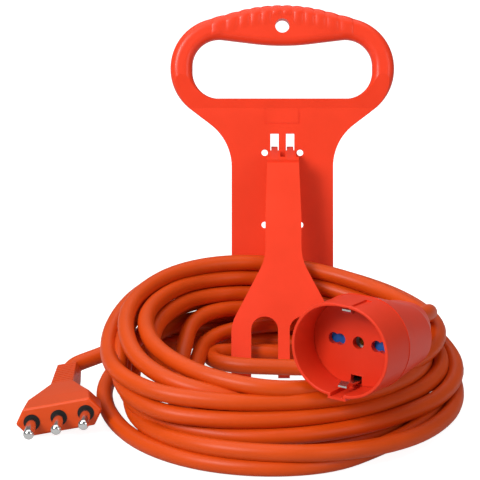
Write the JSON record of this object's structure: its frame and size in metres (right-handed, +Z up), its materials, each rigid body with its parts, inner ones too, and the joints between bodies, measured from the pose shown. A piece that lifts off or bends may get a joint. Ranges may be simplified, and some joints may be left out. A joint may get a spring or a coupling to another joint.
{
  "type": "extension cord",
  "caption": "Round-cable extension cord coiled flat on a folding handle carrier, with a flat pin plug and a round-ended shuttered socket.",
  "frame": {"origin": "underside of the carrier's centre hinge web, on the surface the cord lies on, on the carrier's middle plane", "axes": "+Z up along the carrier's height, +Y away from the strap side (the plug's and socket's open ends point towards -Y), +X to the right seen from the strap side"},
  "size_m": [0.216, 0.2389, 0.1713],
  "materials": {
    "carrier": "gloss, injection moulded",
    "cord": "satin soft PVC sheath",
    "plug_cover": "satin soft PVC moulding",
    "plug_core": "matt",
    "pins": "nickel plated, polished",
    "socket_shell": "satin gloss",
    "socket_insert": "satin gloss, darker",
    "shutter": "satin",
    "carrier_block": "matt",
    "contact_brass": "bright pressed sheet",
    "clips": "nickel plated sheet",
    "spring_steel": "bright wire",
    "bend_relief": "matt",
    "brown_wire": "satin",
    "earth_wire": "satin",
    "blue_wire": "satin"
  },
  "bodies": {
    "root": {"carrier_plate": "carrier", "left_hinge_web": "carrier", "centre_hinge_web": "carrier", "right_hinge_web": "carrier", "cord_coil": "cord", "cord_inner_turn": "cord", "cord_plug_lead": "cord", "cord_socket_lead": "cord", "plug_body": "plug_cover", "plug_core": "plug_core", "plug_line_pin": "pins", "plug_earth_pin": "pins", "plug_neutral_pin": "pins", "plug_line_wire": "brown_wire", "plug_earth_wire": "earth_wire", "plug_neutral_wire": "blue_wire", "socket_front_shell": "socket_shell", "socket_rear_shell": "socket_shell", "socket_face_insert": "socket_insert", "socket_shutter_springs": "spring_steel", "socket_contact_carrier": "carrier_block", "socket_line_contact": "contact_brass", "socket_neutral_contact": "contact_brass", "socket_earth_sleeve": "contact_brass", "socket_bend_relief": "bend_relief", "socket_line_wire": "brown_wire", "socket_earth_wire": "earth_wire", "socket_neutral_wire": "blue_wire"},
    "strap": {"carrier_strap": "carrier"},
    "shutter": {"socket_shutter": "shutter"},
    "upper_clip": {"socket_upper_earth_clip": "clips"},
    "lower_clip": {"socket_lower_earth_clip": "clips"}
  },
  "joints": [
    {"name": "strap_hinge", "type": "hinge", "parent": "root", "child": "strap", "pos_m": [0, -0.0218, 0.0013], "axis": [1, 0, 0], "range_deg": [0, 35]},
    {"name": "shutter_slide", "type": "slide", "parent": "root", "child": "shutter", "axis": [-0.0416, -0.0665, -0.9969], "range_m": [0, 0.0062], "stiffness_N_per_m": 60, "springref_m": -0.002, "deforming": ["socket_shutter_springs"]},
    {"name": "upper_clip_flex", "type": "hinge", "parent": "root", "child": "upper_clip", "pos_m": [0.03424, -0.11805, 0.0722], "axis": [-0.848, 0.5299, 0], "range_deg": [0, 4], "stiffness_Nm_per_rad": 0.05, "springref_deg": -1.15},
    {"name": "lower_clip_flex", "type": "hinge", "parent": "root", "child": "lower_clip", "pos_m": [0.03275, -0.12044, 0.03631], "axis": [0.848, -0.5299, 0], "range_deg": [0, 4], "stiffness_Nm_per_rad": 0.05, "springref_deg": -1.15}
  ]
}
